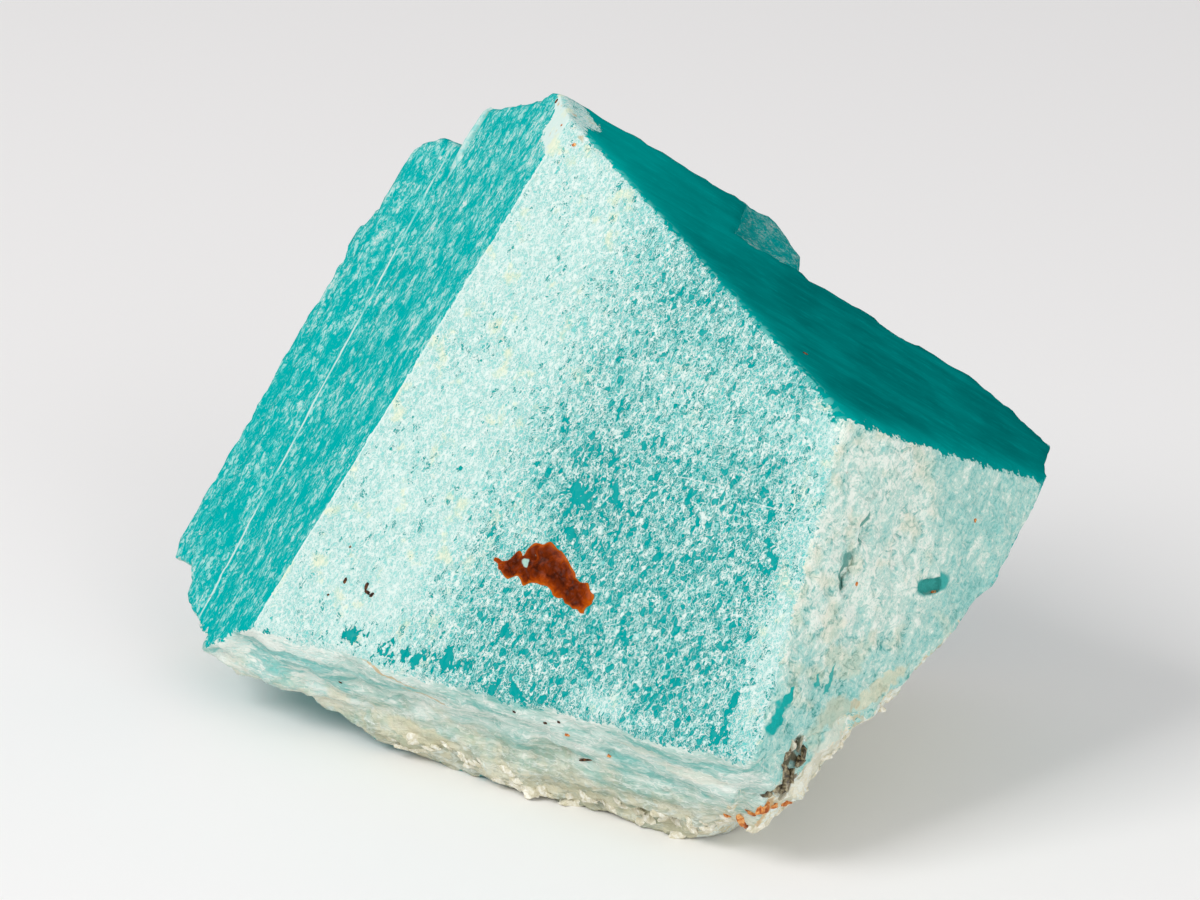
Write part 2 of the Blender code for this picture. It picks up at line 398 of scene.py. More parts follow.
# Halves long edges until each surface has its own spacing, and turns needles into better triangles
def refine(work):
    order = list(kinds)
    coarser = 1.0
    spacing = np.array([stone["spacing"][kind] for kind in order]) * coarser
    for turn in range(stone["rounds"]):
        middles, normals = facetArrays(work)
        limit = spacing[sortFacets(middles, normals)] * stone["longest"]
        work.faces.index_update()
        long = []
        for edge in work.edges:
            allowed = min(limit[f.index] for f in edge.link_faces)
            if edge.calc_length() > allowed:
                long.append(edge)
        if not long:
            break
        bmesh.ops.subdivide_edges(work, edges=long, cuts=1)
        bmesh.ops.triangulate(work, faces=[f for f in work.faces if len(f.verts) > 3])
        flat = [e for e in work.edges if e.calc_face_angle(1.0) < 0.02]
        bmesh.ops.beautify_fill(work, faces=work.faces, edges=flat)
        print("refined", turn, len(work.faces))


def fineCopy(node):
    work = bmesh.new()
    work.from_mesh(node.data)
    bmesh.ops.scale(work, vec=(1 / metre,) * 3, verts=work.verts)
    bmesh.ops.remove_doubles(work, verts=work.verts, dist=stone["mergeGap"])
    refine(work)
    return work


def smoothNoise(points, size, seed=0.0):
    return np.array([noise.noise(Vector(p)) for p in points / size + seed])


def lumps(points, size, octaves=3, seed=0.0):
    return np.array([noise.fractal(Vector(p), 0.6, 2.1, octaves) for p in points / size + seed])


# Places read along three directions, so that noise on them is drawn out along the first
def stretched(points, axis, normal, stretch):
    first = np.array(axis)
    third = np.array(normal)
    second = np.cross(third, first)
    return np.stack([points @ first / stretch, points @ second, points @ third], axis=1)


# Distance to the middle of the nearest cell and a number of its own for each cell
def cellsAt(points, size, seed=0.0):
    gaps = []
    own = []
    for p in points / size + seed:
        distances, places = noise.voronoi(Vector(p))
        gaps.append(distances[0])
        own.append(noise.cell(places[0] * 7.3))
    return np.array(gaps), np.array(own)


def step(values, low, high):
    t = np.clip((values - low) / (high - low), 0, 1)
    return t * t * (3 - 2 * t)


# Places on the front face, by their level and rising distance in it: half sizes and strength
bareSpots = [
    ((3.3, 12.3), (1.1, 1.6), 0.24),
    ((3.0, 9.9), (0.9, 1.2), 0.24),
    ((4.7, 8.9), (0.5, 0.9), 0.20),
    ((6.4, 14.2), (0.5, 0.7), 0.30),
    ((5.5, 11.2), (0.5, 0.9), 0.20),
    ((14.2, 11.0), (0.7, 3.2), 0.18),
    ((1.0, 4.2), (0.6, 0.9), 0.20),
    ((3.6, 3.6), (0.7, 0.6), 0.22),
    ((-8.0, 1.4), (1.6, 0.7), 0.56),
    ((-4.6, 1.2), (2.2, 0.7), 0.58),
    ((-1.6, 1.7), (1.2, 0.8), 0.46),
    ((-13.4, 0.1), (1.8, 0.5), 0.66),
    ((5.5, 5.0), (3.0, 1.2), 0.10),
    ((2.3, 1.0), (1.5, 0.35), 0.34),
    ((4.9, 1.9), (0.8, 0.6), 0.30),
    ((14.1, 1.9), (0.8, 0.5), 0.40),
    ((14.6, 3.6), (0.6, 1.6), 0.20),
]
paleSpots = [
    ((8.0, 17.0), (4.5, 3.5), 0.17),
    ((3.3, 11.3), (2.0, 3.0), -0.09),
    ((7.5, 1.6), (1.5, 0.7), 0.30),
    ((0.5, 8.8), (1.6, 1.2), 0.10),
    ((13.5, 16.5), (2.5, 1.2), 0.15),
    ((15.6, 6.5), (1.0, 3.0), 0.12),
]


def blobs(u, v, spots):
    total = np.zeros(len(u))
    for (x, y), (a, b), strength in spots:
        total += strength * np.exp(-((u - x) / a) ** 2 - ((v - y) / b) ** 2)
    return total


# The front's crust: how pale it is, and how much teal shows through it
crustCover = {
    "paleness": 0.51,
    "leftPaler": 0.32,         # added towards the left edge
    "leftFade": (-1.0, 7.0),
    "leftLean": 0.25,
    "mottling": 0.06,
    "mottleSize": 2.2,
    "bevelPaler": 0.22,        # added towards the bevel where the crust isn't pale yet
    "bevelFade": (-2.6, -0.4),
    "paleEnough": (0.6, 0.8),
    "patchStretch": 1.5,
    "patchSize": 0.72,
    "patches": 0.33,
    "cover": 0.25,             # the more, the fewer bare places
    "paleCover": 0.8,          # how much fewer of them are in pale places
}


# Paleness of the crust, and its bareness: above 0 the crust is missing
def crustMaps(points):
    normal, level, rising = facing("front")[:3]
    u = points @ np.array(level)
    v = points @ np.array(rising)
    leftwards = step(crustCover["leftLean"] * v - u, *crustCover["leftFade"])
    paleness = crustCover["paleness"] + crustCover["leftPaler"] * leftwards
    paleness += crustCover["mottling"] * smoothNoise(points, crustCover["mottleSize"], 3.0)
    paleness += blobs(u, v, paleSpots)
    nearBevel = step(heightOver("bevel", points), *crustCover["bevelFade"])
    paleness += crustCover["bevelPaler"] * nearBevel * (1 - step(paleness, *crustCover["paleEnough"]))
    drawn = stretched(points, growthAxis, normal, crustCover["patchStretch"])
    patches = lumps(drawn, crustCover["patchSize"], 3, 11.0) * crustCover["patches"]
    bare = patches + blobs(u, v, bareSpots) - crustCover["cover"]
    bare -= crustCover["paleCover"] * (paleness - crustCover["paleness"])
    return paleness, bare


def neighbours(work):
    work.verts.index_update()
    pairs = np.array([(e.verts[0].index, e.verts[1].index) for e in work.edges])
    count = np.bincount(pairs.ravel(), minlength=len(work.verts)).astype(float)
    return pairs, count


def averaged(values, pairs, count):
    total = np.zeros_like(values)
    np.add.at(total, pairs[:, 0], values[pairs[:, 1]])
    np.add.at(total, pairs[:, 1], values[pairs[:, 0]])
    return total / (count[:, None] if values.ndim == 2 else count)


# Share of each kind of surface at every point
def sharesOf(work, kindOfFacet):
    shares = np.zeros((len(work.verts), len(kinds)))
    for facet, kind in zip(work.faces, kindOfFacet):
        for vert in facet.verts:
            shares[vert.index, kind] += 1
    return shares / shares.sum(axis=1, keepdims=True)


# Hollows: middle, direction of the length, half sizes along and across, depth
hollows = [
    ((9.0, -16.1, 5.9), (0.35, 0.15, 0.92), (1.5, 0.75), 0.8),
    ((8.1, -16.6, 4.4), (0.45, 0.3, 0.84), (0.9, 0.5), 0.5),
    ((12.4, -11.75, 15.7), (0.37, 0.33, 0.87), (1.0, 0.32), 0.35),
    ((11.5, -12.8, 13.9), (0.37, 0.33, 0.87), (1.3, 0.4), 0.4),
    ((12.7, -11.3, 17.2), (0.7, 0.6, 0.2), (0.6, 0.25), 0.12),
    ((15.7, -9.35, 12.0), (0.75, 0.66, -0.1), (1.2, 0.5), 0.25),
]


def hollowed(points):
    depth = np.zeros(len(points))
    for middle, long, (length, width), deep in hollows:
        away = points - np.array(middle)
        along = away @ np.array(Vector(long).normalized())
        across = np.sqrt(np.maximum((away ** 2).sum(axis=1) - along ** 2, 0))
        far = np.sqrt((along / length) ** 2 + (across / width) ** 2)
        depth = np.maximum(depth, deep * (1 - step(far, 0.25, 1.0)))
    return depth


# Relief in mm: the size of each pattern, then its height
relief = {
    "wrinkles": (0.33, 0.022),
    "bareDepth": 0.055,        # how far the bare teal lies below the crust
    "pits": (0.75, 0.16),
    "paleLumps": (0.55, 0.10),
    "filmStretch": 4.5,
    "films": (0.75, 0.05),
    "ripples": (0.45, 0.035),
    "striaStretch": 9.0,
    "striae": (0.6, 0.016),
    "fibreStretch": 3.0,
    "fibres": (0.9, 0.16),
    "lowFibres": 0.16,         # added along the lower edge
    "fibreGrain": (0.3, 0.05),
    "grains": (0.62, 0.2),
    "grainLumps": (0.8, 0.12),
    "breaks": (1.6, 0.10),
    "breakGrain": (0.4, 0.02),
}


# Front: a thin crust that is missing where the teal shows, finely wrinkled
def crustRelief(points, bare):
    size, height = relief["wrinkles"]
    return height * lumps(points, size, 2, 5.0) - relief["bareDepth"] * step(bare, -0.02, 0.03)


# Right face: pits and low lumps
def paleRelief(points):
    size, depth = relief["pits"]
    gaps, own = cellsAt(points, size, 2.0)
    pits = -depth * step(own, 0.35, 0.8) * step(-gaps, -0.62, -0.2)
    size, height = relief["paleLumps"]
    return pits + height * lumps(points, size, 3, 9.0)


# Left face and plates: thin films and growth steps along the crystal
def brightRelief(points):
    drawn = stretched(points, growthAxis, facing("left")[0], relief["filmStretch"])
    size, height = relief["films"]
    films = height * step(lumps(drawn, size, 3, 21.0), 0.05, 0.3)
    size, height = relief["ripples"]
    return films + height * smoothNoise(drawn, size, 4.0)


# Top: nearly smooth, with faint striations
def deepRelief(points):
    drawn = stretched(points, ridgeAxis, facing("top")[0], relief["striaStretch"])
    size, height = relief["striae"]
    return height * smoothNoise(drawn, size, 1.0)


# Underside: fibrous flakes, rougher along the lower edge
def brokenRelief(points):
    normal, level = facing("under")[:2]
    drawn = stretched(points, level, normal, relief["fibreStretch"])
    size, height = relief["fibres"]
    height = height + relief["lowFibres"] * step(-points[:, 2], -4.0, -1.0)
    fineSize, fineHeight = relief["fibreGrain"]
    return height * lumps(drawn, size, 4, 6.0) + fineHeight * smoothNoise(points, fineSize, 8.0)


# Fringe and heel: crumbly grains
def crumblyRelief(points):
    size, height = relief["grains"]
    gaps = cellsAt(points, size, 5.0)[0]
    lumpSize, lumpHeight = relief["grainLumps"]
    return height * (0.45 - gaps) + lumpHeight * lumps(points, lumpSize, 3, 14.0)


# Broken faces at the back
def hiddenRelief(points):
    size, height = relief["breaks"]
    fineSize, fineHeight = relief["breakGrain"]
    return height * lumps(points, size, 4, 17.0) + fineHeight * smoothNoise(points, fineSize, 2.0)


def reliefOf(points, shares, bare):
    heights = {
        "crust": crustRelief(points, bare),
        "pale": paleRelief(points),
        "bright": brightRelief(points),
        "deep": deepRelief(points),
        "broken": brokenRelief(points),
        "crumbly": crumblyRelief(points),
        "hidden": hiddenRelief(points),
    }
    total = np.zeros(len(points))
    for name, height in heights.items():
        total += shares[:, list(kinds).index(name)] ** 2 * height
    return total - hollowed(points)


# Values drawn towards those of their neighbours, each by its own strength
def smoothed(values, strength, passes, links):
    pairs, count = links
    for turn in range(passes):
        values = values + strength[:, None] * (averaged(values, pairs, count) - values)
    return values


# Edges worn here and there, the edge between front and bevel rounded off, and lumpy places eased
def wornPoints(points, gap, links):
    wear = stone["wear"] * step(smoothNoise(points, stone["wearSize"], 31.0), -0.35, 0.35)
    points = smoothed(points, wear, stone["wearPasses"], links)
    for one, other, radius, passes in stone["rounded"]:
        nearEdge = step(np.minimum(gap[one], gap[other]), -radius, -radius * 0.4)
        points = smoothed(points, nearEdge, passes, links)
    for middle, radius, passes in stone["softened"]:
        nearSpot = 1 - step(np.linalg.norm(points - np.array(middle), axis=1), radius * 0.5, radius)
        points = smoothed(points, nearSpot, passes, links)
    return points


# Shares of the kinds of surface, run into each other where two of them meet
def blendedShares(points, shares, gap, links):
    order = list(kinds)
    size, strength = stone["capRagged"]
    away = np.linalg.norm(points - np.array(stone["summit"]), axis=1)
    away += strength * smoothNoise(points, size, 41.0)
    cap = 1 - step(away, stone["capRadius"] * 0.8, stone["capRadius"])
    shares = shares * (1 - cap)[:, None]
    shares[:, order.index("crust")] += cap
    crisp = step(np.minimum(gap["front"], gap["left"]), *stone["crispFade"])
    crisp = np.maximum(crisp, 0.75 * shares[:, order.index("deep")])
    shares = smoothed(shares, 1 - crisp, stone["blendPasses"], links)
    # the front's crust thins out slowly towards the right face
    slow = step(np.minimum(gap["front"], gap["bevel"]), *stone["slowFade"]) * (1 - crisp)
    return smoothed(shares, slow, stone["slowPasses"], links)


def setPlaces(work, places):
    for vert, place in zip(work.verts, places):
        vert.co = place


def dressStone(node):
    work = fineCopy(node)
    work.verts.index_update()
    kindOfFacet = sortFacets(*facetArrays(work))
    links = neighbours(work)
    points = np.array([v.co for v in work.verts])
    gap = {name: heightOver(name, points) for name in faces}
    points = wornPoints(points, gap, links)
    shares = blendedShares(points, sharesOf(work, kindOfFacet), gap, links)
    setPlaces(work, points)
    work.normal_update()
    outward = np.array([v.normal for v in work.verts])
    paleness, bare = crustMaps(points)
    points = points + outward * reliefOf(points, shares, bare)[:, None]
    low, high = (np.array(corner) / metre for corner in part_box("amazonite_crystal"))
    setPlaces(work, np.clip(points, low, high) * metre)
    mesh = bpy.data.meshes.new("amazonite")
    work.to_mesh(mesh)
    work.free()
    below = np.zeros(len(points))
    for name in layerOrder:
        own = shares[:, list(kinds).index(name)]
        below += own
        keep(mesh, name, own / np.maximum(below, 1e-6))
    keep(mesh, "bare", bare)
    keep(mesh, "paleness", paleness)
    mesh.shade_smooth()
    mesh.set_sharp_from_angle(angle=math.radians(stone["sharpAngle"]))
    piece = bpy.data.objects.new("amazonite", mesh)
    bpy.context.scene.collection.objects.link(piece)
    for kind, number in zip(kinds, np.bincount(kindOfFacet, minlength=len(kinds))):
        print("facets", kind, number)
    return piece


# Stores one number for every point of the mesh, for the finish to read
def keep(mesh, name, values):
    layer = mesh.attributes.new(name, "FLOAT", "POINT")
    layer.data.foreach_set("value", np.asarray(values, dtype=np.float32))


# Colours of the stone, as they look in plain white light
stoneColours = {
    "deepTeal": "006563",        # the smooth top face
    "brightTeal": "00A5A0",      # left faces
    "glassTeal": "6FC4BC",       # thin chips along the edges
    "cream": "DCD4B4",
    "lemon": "E0E4C2",
    "white": "E8F2EC",
    "ivory": "E6E3D2",
    "greyGreen": "A3A891",
    "olive": "BCC6B0",
    "greyTeal": "86C9C2",
    # darker teal in the crevices of the right face: partly the stone's teal, partly painted shade
    "pitTeal": "4F938B",
    "sideTeal": "43A9A2",
    "patchTeal": "12A6A1",
    "underWhite": "E2EAE2",
    "tan": "C7A36E",
    "smoke": "6E6145",
}
# From bare feldspar to thick albite crust, on three sides of the crystal
frontTones = ((0.0, "009492"), (0.43, "5BC0BC"), (0.72, "99D0CA"), (1.0, "D6E5DF"))
leftTones = ((0.0, "00A7A5"), (0.33, "47BFBB"), (0.72, "9ED4CE"), (1.0, "D1DFDA"))
rightTones = ((0.0, "3F9A93"), (0.45, "92C8C1"), (0.75, "BCD9CE"), (1.0, "E6EEE4"))


# Threads of lace: thin curved lines where a smooth noise passes its middle
def threads(place, size, width, seed=0.0, warp=0.4):
    wave = place.shifted((seed, seed, seed)).grain(size, 1.2, 0.5, warp)
    return abs(wave - 0.5).fall(width * 0.25, width)


# Height of the surface over a flat face, for the finish: 0 on it and negative inside the stone
def beyond(place, name):
    return place.dot(facing(name)[0]) - facing(name)[3]


# Soft round mask about a point, in mm
def near(place, middle, radius, softness=0.35):
    return place.farFrom(middle).fall(radius * (1 - softness), radius)


# A point on a face from its level and rising place in it
def onFace(name, level, rising):
    normal, levelAxis, risingAxis, reach = facing(name)
    return normal * reach + levelAxis * level + risingAxis * rising


# Oval mask about a point: 1 inside, from its long and short directions and half sizes
def oval(place, middle, long, normal, sizes, softness=0.3):
    axes = (long, normal.cross(long), normal)
    shifted = place.shifted(tuple(-Vector(middle))).along(axes, sizes)
    return shifted.farFrom((0, 0, 0)).fall(1 - softness, 1)


# Marks at known places: colour, middle, direction of the length, half sizes and strength
def marked(look, place, colour, normal, marks, wander=0.35):
    moved = place.bent(0.5, wander)
    for name, middle, long, sizes, strength in marks:
        mask = oval(moved, middle, Vector(long).normalized(), normal, sizes)
        look = look.mix(colour[name], mask * strength)
    return look


crustLook = {
    "stretch": 1.5,
    "flakes": 0.25,            # sizes of the patterns in mm
    "scales": 0.16,
    "curls": 0.24,
    "curlWidth": 0.065,
    "cream": 1.3,
    "contrast": 1.7,
    "flakeShare": 0.25,        # how much each pattern shows
    "scaleShare": 0.55,
    "laceShare": 0.95,
    "chips": 0.90,
    "spotEdge": 0.02,
    # depths under the left face over which the front is painted pale along that edge: a painted highlight
    "edgeHighlight": (-0.09, -0.03),
}
# Thin white scratches: middle, direction and half sizes in the front face
scratches = [
    ("white", onFace("front", 9.4, 12.95), (0.80, -0.60, 0.02), (1.9, 0.04, 1.0), 0.5),
    ("white", onFace("front", 13.4, 12.6), (0.80, -0.60, 0.0), (1.7, 0.035, 1.0), 0.5),
    ("white", onFace("front", 9.3, 14.85), (0.79, -0.60, 0.06), (1.3, 0.035, 1.0), 0.4),
]


# Front face: white lace over teal, with bare teal spots where the crust is missing
def crustFinish(place, share, colour):
    normal = facing("front")[0]
    drawn = place.along((growthAxis, normal.cross(growthAxis), normal), (crustLook["stretch"], 1, 1))
    flake, rim = drawn.flakes(crustLook["flakes"], 1.5)
    scale = drawn.flakes(crustLook["scales"], 1.1, 5.0)[0]
    curls = threads(drawn, crustLook["curls"], crustLook["curlWidth"], 7.0, 1.0)
    curls = curls.most(threads(drawn, crustLook["curls"] * 0.7, crustLook["curlWidth"], 3.0, 0.8) * 0.8)
    lace = curls.most(rim.fall(0.02, 0.08) * 0.9)
    paleness = share["paleness"]
    pattern = (0.5 - flake) * crustLook["flakeShare"] + (0.5 - scale) * crustLook["scaleShare"]
    pattern = pattern + (0.52 - lace) * crustLook["laceShare"]
    pale = 1 - (1.0 - paleness) * (1 + crustLook["contrast"] * pattern)
    # angular teal chips between the lace
    chips = crustLook["chips"] - paleness - flake * 0.8 - lace * 0.24
    chips = chips.rise(-0.02, 0.04) * rim.rise(0.01, 0.05)
    pale = pale * (1 - chips * 0.85)
    bareness = share["bare"] + (0.5 - flake) * 0.40 + (0.5 - scale) * 0.20
    bare = bareness.rise(0.0, crustLook["spotEdge"])
    pale = pale.most(0.0).least(1.0) * (1 - bare) + bare * scale * 0.06
    # a thin pale line along the edge to the left face: painted highlight
    pale = pale.most(beyond(place, "left").rise(*crustLook["edgeHighlight"]) * 0.95)
    look = pale.ramp(frontTones)
    creamy = place.grain(crustLook["cream"], 3, 0.6).rise(0.56, 0.70) * paleness.rise(0.55, 0.85)
    look = look.mix(colour["lemon"], creamy * pale * 0.7)
    stain = place.grain(0.9, 2, 0.6).rise(0.62, 0.70) * near(place, stone["summit"], 4.0, 0.8)
    look = look.mix(colour["tan"], stain * 0.8)
    look = marked(look, place, colour, normal, scratches, 0.12)
    return look, pale


# Right face: hollows in darker teal, part teal where the crust is off and part painted shade, and teal
# patches where the crust has come off
sideMarks = [
    ("pitTeal", (12.4, -11.75, 15.7), (0.37, 0.33, 0.87), (0.9, 0.18, 1.2), 0.85),
    ("pitTeal", (11.5, -12.8, 13.9), (0.37, 0.33, 0.87), (1.2, 0.26, 1.2), 0.85),
    ("pitTeal", (12.7, -11.3, 17.2), (0.7, 0.6, 0.2), (0.5, 0.10, 0.9), 0.3),
    ("patchTeal", (8.15, -16.7, 8.35), (0.51, 0.45, 1.0), (0.9, 0.42, 1.6), 1.0),
    ("patchTeal", (8.75, -16.15, 9.1), (0.83, 0.73, 1.0), (0.75, 0.26, 1.6), 1.0),
    ("sideTeal", (6.7, -18.0, 8.0), (0.7, 0.6, 0.1), (0.4, 0.22, 1.2), 1.0),
    ("patchTeal", (10.2, -14.85, 9.35), (0.3, 0.3, 0.9), (0.5, 0.16, 1.2), 0.9),
    ("patchTeal", (10.8, -14.4, 9.1), (0.45, 0.4, 0.8), (0.9, 0.20, 1.2), 0.9),
    ("ivory", (10.2, -14.5, 5.4), (0.5, 0.45, 0.74), (2.8, 0.9, 2.0), 0.6),
    ("olive", (11.0, -14.4, 7.6), (0.7, 0.65, 0.1), (1.3, 0.8, 1.6), 0.7),
    ("smoke", (8.9, -16.2, 5.6), (0.35, 0.15, 0.92), (1.7, 0.55, 1.4), 0.9),
    ("cream", (13.2, -12.3, 8.0), (0.7, 0.66, 0.3), (2.2, 0.5, 1.6), 0.6),
    ("tan", (12.0, -13.5, 7.6), (0.6, 0.6, 0.4), (0.35, 0.25, 0.8), 0.4),
]
smile = ((15.7, -9.35, 12.05), (1.35, 0.62, 1.2))
smileLid = ((15.7, -9.35, 12.65), (0.80, 0.50, 1.4))
paleLook = {
    "stretch": 2.6,
    "flakes": 0.30,
    "curls": 0.42,
    "ridges": 0.38,
    "ridgeWidth": 0.10,
    "threads": 0.20,
    "threadWidth": 0.09,
    "streaks": 0.7,
    "farSide": (4.5, 8.0),     # from the bevel to the thinner crust further off
    "low": (6.0, 10.0),
    "paleness": 0.70,
    "farDarker": 0.22,
    "lowDarker": 0.24,
    "pitShade": 0.30,
}


# Right face and bevel: rough pale crust near the bevel, thinner and streaked further off
def paleFinish(place, share, colour):
    normal, level, rising = facing("right")[:3]
    drawn = place.along((rightAxis, normal.cross(rightAxis), normal), (paleLook["stretch"], 1, 1))
    border = (place.grain(1.5, 2, 0.5) - 0.5) * 4
    farSide = (place.dot(level) + border).rise(*paleLook["farSide"])
    flake = drawn.flakes(paleLook["flakes"], 1.3, 2.0)[0]
    curl = place.grain(paleLook["curls"], 3, 0.6, 1.4)
    # pale ridge lines: painted highlights
    ridges = threads(place, paleLook["ridges"], paleLook["ridgeWidth"], 12.0, 1.6)
    fine = threads(drawn, paleLook["threads"], paleLook["threadWidth"], 4.0, 0.8)
    streak = drawn.grain(paleLook["streaks"], 4, 0.65)
    low = place.dot(rising).fall(*paleLook["low"])
    # darker pits: painted shade
    pits = curl.fall(0.36, 0.43) * (1 - farSide) * place.grain(1.6, 1).rise(0.42, 0.55)
    pale = paleLook["paleness"] - paleLook["farDarker"] * farSide - paleLook["lowDarker"] * low
    pale = pale + (flake - 0.5) * 0.16 + (curl - 0.5) * 1.1 + (streak - 0.5) * 0.9
    pale = pale + ridges * 0.13 + fine * 0.14 - pits * paleLook["pitShade"]
    look = pale.most(0.0).least(1.0).ramp(rightTones)
    creamy = place.grain(1.6, 2, 0.5).rise(0.50, 0.66) * (1 - farSide)
    look = look.mix(colour["cream"], creamy * 0.35)
    look = marked(look, place, colour, normal, sideMarks, 0.8)
    moved = place.bent(0.5, 0.25)
    middle, sizes = smile
    lid, lidSizes = smileLid
    mouth = oval(moved, middle, level, normal, sizes) * (1 - oval(moved, lid, level, normal, lidSizes))
    return look.mix(colour["sideTeal"], mouth), pale


leftMarks = [
    ("olive", onFace("left", -14.95, 21.2), tuple(-facing("left")[2]), (2.6, 0.26, 1.5), 0.6),
]
brightLook = {
    "stretch": 1.5,
    "flakes": 0.34,
    "scales": 0.17,
    "curls": 0.30,
    "curlWidth": 0.08,
    "patches": 1.0,
    "paleness": 0.07,
    "patchShare": 2.3,
    "flakeShare": 0.45,
    "scaleShare": 0.35,
    "curlShare": 0.50,
    "high": (14.0, 27.0),      # heights over which it gets paler
    "highPaler": 0.12,
    "ridgeHighlight": (0.006, 0.022),    # half width of the painted highlight along the ridge where the inner plate ends
}


# Left faces and plates: bright teal with pale flecks drawn out along the crystal
def brightFinish(place, share, colour):
    normal = facing("left")[0]
    flow = place.along((growthAxis, normal.cross(growthAxis), normal), (brightLook["stretch"], 1, 1))
    flake, rim = flow.flakes(brightLook["flakes"], 1.2, 3.0)
    scale = flow.flakes(brightLook["scales"], 1.0, 9.0)[0]
    curls = threads(flow, brightLook["curls"], brightLook["curlWidth"], 5.0, 0.9)
    curls = curls.most(rim.fall(0.02, 0.1) * 0.6)
    patch = flow.grain(brightLook["patches"], 4, 0.62, 0.4)
    high = place.dot((0, 0, 1)).rise(*brightLook["high"])
    pale = brightLook["paleness"] + high * brightLook["highPaler"] + (patch - 0.5) * brightLook["patchShare"]
    pale = pale + (flake - 0.5) * brightLook["flakeShare"] + (scale - 0.5) * brightLook["scaleShare"]
    pale = (pale + (curls - 0.4) * brightLook["curlShare"]).most(0.0)
    pale = pale.most((scale - 0.86).rise(0.0, 0.03) * patch.rise(0.42, 0.5) * 0.65)
    # a pale line along the ridge where the inner plate ends: painted highlight, stronger in patches
    ridgeHighlight = abs(beyond(place, "left") - beyond(place, "plateFace")).fall(*brightLook["ridgeHighlight"])
    onLeft = beyond(place, "left").rise(-0.3, -0.15)
    highlightPatches = flow.grain(1.6, 2, 0.6).rise(0.36, 0.56)
    pale = pale.most(ridgeHighlight * onLeft * (0.45 + 0.5 * highlightPatches)).least(1.0)
    look = pale.ramp(leftTones)
    look = look.mix(colour["deepTeal"], place.dot((1, 0, 0)).rise(2.0, 4.0) * 0.5)   # knob behind
    look = marked(look, place, colour, normal, leftMarks, 0.15)
    return look, pale


deepLook = {
    "stretch": 7.0,
    "wide": 1.1,               # widths of the striations
    "fine": 0.13,
    "dull": 3.0,
    "chips": 0.26,
    "base": 0.06,              # share of the brighter teal, and what is added to it
    "dullShare": 0.12,
    "wideShare": 0.18,
    "fineShare": 0.22,
    "rimShare": 0.35,
    "tipShare": 0.36,
    "tipRadius": 15.0,
}


# Top face: smooth deep teal, a little brighter at its edges, with faint striations
def deepFinish(place, share, colour):
    normal = facing("top")[0]
    drawn = place.along((ridgeAxis, normal.cross(ridgeAxis), normal), (deepLook["stretch"], 1, 1))
    wide = drawn.grain(deepLook["wide"], 3, 0.55).rise(0.4, 0.75)
    fine = drawn.grain(deepLook["fine"], 3, 0.65).rise(0.48, 0.72)
    dull = place.grain(deepLook["dull"], 2, 0.5).rise(0.4, 0.6)
    rims = beyond(place, "front").rise(-1.6, -0.05) + beyond(place, "right").rise(-1.8, 0.0)
    tip = near(place, stone["summit"], deepLook["tipRadius"], 0.8)
    lighter = deepLook["base"] + dull * deepLook["dullShare"] + wide * deepLook["wideShare"]
    lighter = lighter + fine * deepLook["fineShare"] + rims * deepLook["rimShare"]
    lighter = lighter + tip * deepLook["tipShare"]
    look = colour["deepTeal"].mix(colour["brightTeal"], lighter.least(1.0))
    flake = place.flakes(deepLook["chips"], 0.8, 4.0)[0]
    chips = beyond(place, "front").rise(-0.55, -0.05) * flake.rise(0.55, 0.62)
    look = look.mix(colour["glassTeal"], chips * 0.55)
    edge = beyond(place, "highBack").rise(-0.12, -0.03) * place.grain(1.5, 2).rise(0.4, 0.6)
    look = look.mix(colour["tan"], edge * 0.5)
    return look, fine * 0.3


underMarks = [
    ("tan", onFace("under", -5.6, 9.5), (0.72, -0.60, -0.33), (2.4, 0.10, 1.0), 0.7),
    ("tan", onFace("under", -3.4, 8.4), (0.76, -0.58, -0.28), (1.6, 0.08, 1.0), 0.6),
    ("smoke", onFace("under", 5.6, 6.75), (0.80, -0.59, 0.0), (0.6, 0.05, 1.0), 0.8),
    ("cream", onFace("under", -5.0, 5.3), (0.79, -0.60, -0.1), (2.8, 0.7, 1.0), 0.6),
    ("ivory", onFace("under", 12.4, 8.4), (0.80, -0.60, 0.0), (2.4, 0.40, 1.0), 0.5),
    ("ivory", onFace("under", 9.5, 9.0), (0.80, -0.60, 0.1), (1.5, 0.30, 1.0), 0.4),
]


brokenLook = {
    "stretch": 3.6,
    "flakes": 0.30,
    "fibres": 0.24,
    "strands": 1.2,
    "hairs": 0.26,
    "hairWidth": 0.06,
    "cream": 0.9,
    "high": (4.0, 8.0),        # rising places over which the grey-green turns pale
    "leftEnd": (-7.0, -13.0),
    "paleness": 0.52,
    "strandShare": 2.0,
    "fibreShare": 1.6,
    "flakeShare": 0.4,
    "hairShare": 0.4,
    "endShare": 0.35,
    # how much darker the underside is painted towards its lower edge: painted shade
    "lowDarker": 0.22,
}


